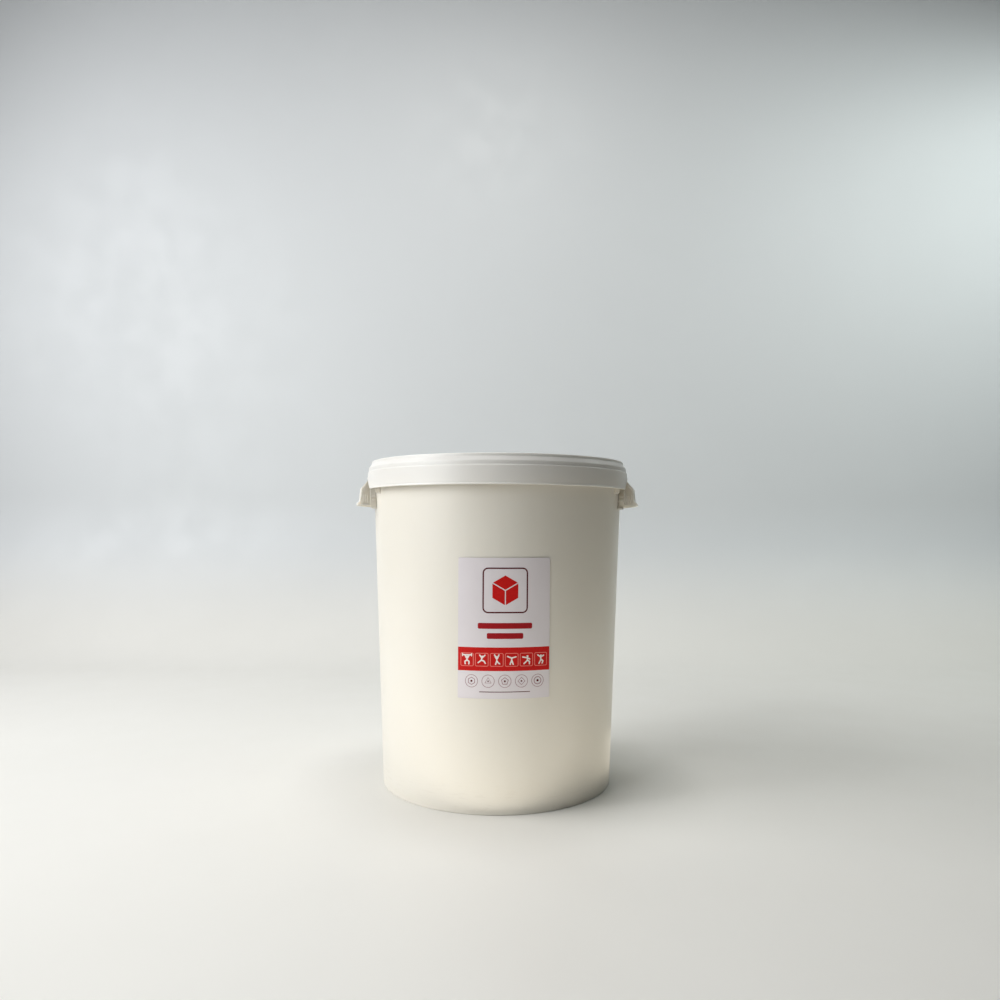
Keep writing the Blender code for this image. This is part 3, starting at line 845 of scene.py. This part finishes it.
def build_label():
    sheet = panel(0, 0, 2 * LABEL_HALF_WIDTH / MM, LABEL_HEIGHT / MM, 1.2)
    wrap("label_sheet", [[sheet]], 0, LABEL_THICKNESS, PAPER, ["label"])
    on_paper = LABEL_THICKNESS - INK / 2
    on_band = LABEL_THICKNESS + INK
    a = ART_SHIFT

    emblem_frame = box_line(*EMBLEM_CENTRE, EMBLEM_FRAME, EMBLEM_CORNER, EMBLEM_LINE)
    wrap("print_emblem_frame", [emblem_frame], on_paper, INK, MAROON)
    wrap("print_emblem", [[face] for face in block_emblem()], on_paper, INK, RED)
    bars = [[panel(a, middle, length, BAR_HEIGHT, BAR_CORNER)] for middle, length in BARS]
    wrap("print_bars", bars, on_paper, INK, DARK_RED)
    wrap("print_rule", [[panel(a, RULE_MIDDLE, RULE_LENGTH, 0.9, 0.4)]], on_paper, INK, MAROON)

    strip = panel(0, BAND_MIDDLE, 2 * LABEL_HALF_WIDTH / MM - 0.4, BAND_HEIGHT, 0.3)
    wrap("print_band", [[strip]], on_paper, INK, RED)
    frames, figures = [], []
    figure_middle = BAND_MIDDLE - 0.6 + FIGURE_RAISE
    for i, parts in enumerate(reversed(FIGURES)):
        u = (i - 2.5) * ICON_PITCH
        frames.append(box_line(u, BAND_MIDDLE - 0.6, ICON_SIZE, 1.8, 0.75))
        figures += figure(u, figure_middle, FIGURE_SIZE, parts)
    for end in (-1, 1):
        u = -2.5 * ICON_PITCH + end * BARBELL_HALF * FIGURE_SIZE
        figures.append([panel(u, figure_middle + BARBELL_HEIGHT * FIGURE_SIZE, 1.3, 3.4, 0.5)])
    wrap("print_icon_frames", frames, on_band, INK, PALE_RED)
    wrap("print_figures", figures, on_band, INK, WHITE)

    circles, marks = [], []
    for i, sides in enumerate(MARK_SIDES):
        u = a + (i - 2) * MARK_PITCH
        circles.append(circle_line(u, MARK_MIDDLE, MARK_RADIUS, 0.55))
        circles.append(band(disc(u, MARK_MIDDLE, 4.4, sides, 90), disc(u, MARK_MIDDLE, 3.6, sides, 90)))
        marks.append([disc(u, MARK_MIDDLE, 1.3, sides, 90)])
    wrap("print_mark_circles", circles, on_paper, INK, GREY_RED)
    wrap("print_marks", marks, on_paper, INK, MAROON)


# --- chalk -------------------------------------------------------------------------------------

BED_RINGS = 84
BED_COLUMNS = 300
BED_ROUGHNESS = 0.0011
BED_LUMPS = ((38, 0.0030), (120, 0.0022), (330, BED_ROUGHNESS), (800, 0.0006))
CRUMB_COUNT = 1500
CRUMB_SEED = 7
CRUMB_SMALLEST = 0.0008
CRUMB_SPREAD = 0.0026             # how much larger the largest crumb is
RISE_LIMIT = 0.0003               # grit stands no further out of a chunk than this

# Chips as (count, deepest), and grit as (features per metre, height)
FRAGMENT_CHIPS = (5, 0.17)
FRAGMENT_GRIT = ((60, 0.0012), (260, 0.0008), (900, 0.0003))
CHUNK_CHIPS = (7, 0.26)
CHUNK_GRIT = ((110, 0.0018), (330, 0.0011), (900, 0.0004))


def chalk_radius(height):
    return wall_radius(height) - WALL - CHALK_CLEARANCE


def chalk_height(radius):
    return CHALK_EDGE_HEIGHT + CHALK_CROWN * (1 - (radius / wall_radius(CHALK_EDGE_HEIGHT)) ** 2)


def grit(point, scales):
    """Sum of noise layers, each given as (features per metre, height)."""
    return sum(noise.noise(point * scale) * height for scale, height in scales)


def build_bed():
    """Crushed chalk: a closed body with a crowned, lumpy top."""
    floor = BASE_TOP + CHALK_CLEARANCE
    foot = floor + FLOOR_EDGE
    edge = chalk_radius(CHALK_EDGE_HEIGHT) - 0.0003
    profile = [(0, floor), (chalk_radius(foot) - FLOOR_EDGE, floor), (chalk_radius(foot), foot)]
    profile += [(edge * i / BED_RINGS, None) for i in range(BED_RINGS, -1, -1)]

    def warp(radius, height, angle):
        if height is not None:
            return radius, height
        spot = at(radius, 0, angle)
        lumps = grit(spot, BED_LUMPS)
        return radius, chalk_height(radius) - 0.0008 + lumps

    profile[-1] = (0, chalk_height(0) - 0.0008)
    bm = bmesh.new()
    turned(bm, profile, even_angles(BED_COLUMNS), warp)
    add_piece("crushed_chalk_bed", bm, CHALK, "tub", ["crushed_chalk"])


def chip(bm, rng, count, deepest):
    """Break pieces off along random flat cuts; deepest is a cut's largest share of the chunk's width."""
    for _ in range(count):
        facing = Vector([rng.choice((-1, 1)) * rng.uniform(0.35, 1) for axis in range(3)]).normalized()
        reach = [facing.dot(vert.co) for vert in bm.verts]
        level = max(reach) - (max(reach) - min(reach)) * rng.uniform(0.3, 1) * deepest
        bmesh.ops.bisect_plane(bm, geom=[*bm.verts, *bm.edges, *bm.faces], dist=1e-6,
                               plane_co=facing * level, plane_no=facing, clear_outer=True)
        bmesh.ops.holes_fill(bm, edges=[edge for edge in bm.edges if edge.is_boundary], sides=0)


def broken(node, chips, cuts, wear, scales):
    """A CAD chunk with chipped corners, worn edges and a pitted surface."""
    bm = bmesh.new()
    bm.from_mesh(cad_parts[node].data)
    bmesh.ops.transform(bm, matrix=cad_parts[node].matrix_world, verts=bm.verts)
    bmesh.ops.remove_doubles(bm, verts=bm.verts, dist=1e-6)
    chip(bm, random.Random(node), *chips)
    bmesh.ops.triangulate(bm, faces=bm.faces)
    for _ in range(cuts):
        bmesh.ops.subdivide_edges(bm, edges=bm.edges, cuts=1, use_grid_fill=True)
        bmesh.ops.triangulate(bm, faces=bm.faces)
    for _ in range(wear):
        bmesh.ops.smooth_vert(bm, verts=bm.verts, factor=0.5,
                              use_axis_x=True, use_axis_y=True, use_axis_z=True)
    bm.normal_update()
    moves = [(vert, vert.normal * min(grit(vert.co, scales), RISE_LIMIT)) for vert in bm.verts]
    for vert, move in moves:
        vert.co += move
    return bm


def join(parts):
    bm = bmesh.new()
    for part in parts:
        spare = bpy.data.meshes.new("spare")
        part.to_mesh(spare)
        part.free()
        bm.from_mesh(spare)
        bpy.data.meshes.remove(spare)
    return bm


def build_loose_chalk():
    fragments = sorted(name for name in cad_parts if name.startswith("block_fragment"))
    for name in fragments:
        bm = broken(name, FRAGMENT_CHIPS, 4, 1, FRAGMENT_GRIT)
        add_piece(f"{name}_look", bm, BLOCK, "tub", [name])
    chunks = sorted(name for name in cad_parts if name.startswith("chalk_chunk"))
    bm = join([broken(name, CHUNK_CHIPS, 3, 1, CHUNK_GRIT) for name in chunks])
    add_piece("chalk_chunks_look", bm, BLOCK, "tub", chunks)


def build_crumbs():
    """Small grains strewn over the crushed chalk."""
    rng = random.Random(CRUMB_SEED)
    bm = bmesh.new()
    limit = chalk_radius(CHALK_EDGE_HEIGHT) - 0.004
    for _ in range(CRUMB_COUNT):
        radius = limit * math.sqrt(rng.random())
        size = CRUMB_SMALLEST + CRUMB_SPREAD * rng.random() ** 2.5
        spot = at(radius, 0, rng.uniform(0, 360))
        spot.z = chalk_height(radius) + size * 0.35
        angle = rng.uniform(0, 6.28)
        turn = Matrix.Rotation(angle, 4, Vector((rng.uniform(-1, 1), rng.uniform(-1, 1), 0.3)))
        flatten = Matrix.Diagonal((1, rng.uniform(0.6, 1), rng.uniform(0.5, 0.9), 1))
        shape = Matrix.Translation(spot) @ turn @ flatten
        made = bmesh.ops.create_icosphere(bm, subdivisions=1, radius=size, matrix=shape)
        for vert in made["verts"]:
            vert.co += Vector((rng.uniform(-1, 1), rng.uniform(-1, 1), rng.uniform(-1, 1))) * size * 0.18
    add_piece("chalk_crumbs", bm, CHALK, "tub")


# --- stage, lights and camera ------------------------------------------------------------------

LENS = 28.53
CAMERA = (0.0033, -1.0204, 0.3139)
CAMERA_PITCH = 2.064
CAMERA_ROLL = 0.216
STAGE_WIDTH = 1.45
STAGE_FRONT = -1.75
WALL_FRONT = 1.15
WALL_CURVE = 0.40
WALL_TOP = 1.95
STAGE_SEGMENTS = 24
LAMP_AIM = (0, 0, 0.2)            # the middle of the tub
WORLD_GREY = (0.60, 0.61, 0.60, 1.0)

# Name, place, target, size, power in watts and colour; the two bounces lie just above the floor
LAMPS = (
    ("window_high", (-1.7, -0.3, 1.5), LAMP_AIM, (1.2, 1.2), 24.5, (0.96, 0.97, 1.0)),
    ("window_low", (-1.5, -1.1, 1.0), LAMP_AIM, (1.4, 1.4), 24.0, (0.96, 0.98, 1.0)),
    ("ceiling", (0, 0, 2.0), (0, 0.0001, 0), (0.55, 0.55), 11.0, (1.0, 0.99, 0.97)),
    ("backdrop_fill", (1.5, 0.45, 1.3), (1.2, 1.15, 0.5), (1.2, 1.0), 7.6, (0.92, 1.0, 0.98)),
    ("front_bounce", (0.10, -0.25, 0.004), (0.10, -0.2499, 1.0), (0.86, 0.20), 0.46,
     (1.0, 0.94, 0.82)),
    ("right_bounce", (0.22, -0.02, 0.004), (0.22, -0.0199, 1.0), (0.12, 0.4), 0.10,
     (1.0, 0.90, 0.72)),
)


def stage_look():
    look = Shader("stage_look", 0.5)
    cloud = look.noise(2.0)
    floor = look.mix(look.ramp(cloud, 0.3, 0.7), (0.83, 0.815, 0.765), (0.81, 0.795, 0.745))
    look.colour(look.mix(look.ramp(look.height(), 0.01, 0.30), floor, (0.66, 0.68, 0.685)))
    look.rough(look.ramp(look.noise(12.0), 0.3, 0.7, 0.42, 0.55))
    look.bumps(((look.noise(300.0), 0.0001, 0.3),))
    return look.material


def build_stage():
    """Plain pale floor that curves up into a plain backdrop, well away from the tub."""
    line = [(STAGE_FRONT, 0.0), (WALL_FRONT - WALL_CURVE, 0.0)]
    for i in range(1, STAGE_SEGMENTS + 1):
        angle = math.pi / 2 * i / STAGE_SEGMENTS
        line.append((WALL_FRONT - WALL_CURVE + WALL_CURVE * math.sin(angle),
                     WALL_CURVE * (1 - math.cos(angle))))
    line.append((WALL_FRONT, WALL_TOP))
    bm = bmesh.new()
    sides = [[bm.verts.new((side * STAGE_WIDTH, y, z)) for y, z in line] for side in (-1, 1)]
    bridge(bm, sides[0], sides[1], closed=False)
    mesh = bpy.data.meshes.new("stage")
    bm.to_mesh(mesh)
    bm.free()
    mesh.materials.append(stage_look())
    mesh.shade_smooth()
    stage = bpy.data.objects.new("stage", mesh)
    bpy.context.collection.objects.link(stage)


def area_light(name, place, target, size, power, colour):
    light = bpy.data.lights.new(name, "AREA")
    light.shape = "RECTANGLE"
    light.size, light.size_y = size
    light.energy = power
    light.color = colour
    lamp = bpy.data.objects.new(name, light)
    lamp.location = place
    lamp.rotation_euler = (Vector(target) - Vector(place)).to_track_quat("-Z", "Y").to_euler()
    lamp.visible_camera = False
    bpy.context.collection.objects.link(lamp)


def build_lights():
    """Two windows on the left, bounce off the floor, a ceiling lamp and light on the backdrop."""
    scene = bpy.context.scene
    scene.view_settings.view_transform = "Standard"
    world = bpy.data.worlds.new("studio")
    world.use_nodes = True
    background = world.node_tree.nodes["Background"]
    background.inputs["Color"].default_value = WORLD_GREY
    background.inputs["Strength"].default_value = 1.0
    world.cycles_visibility.diffuse = False
    world.cycles_visibility.glossy = False
    scene.world = world
    for lamp in LAMPS:
        area_light(*lamp)


def build_camera():
    data = bpy.data.cameras.new("camera")
    data.lens = LENS
    data.sensor_width = 36.0
    camera = bpy.data.objects.new("camera", data)
    pitch = Matrix.Rotation(math.radians(90 + CAMERA_PITCH), 4, "X")
    roll = Matrix.Rotation(math.radians(CAMERA_ROLL), 4, "Z")
    camera.matrix_world = Matrix.Translation(CAMERA) @ pitch @ roll
    bpy.context.collection.objects.link(camera)
    bpy.context.scene.camera = camera


build_camera()
build_stage()
build_lights()
build_tub()
build_grip("right", 0)
build_grip("left", 180)
build_lid()
build_label()
build_bed()
build_loose_chalk()
build_crumbs()
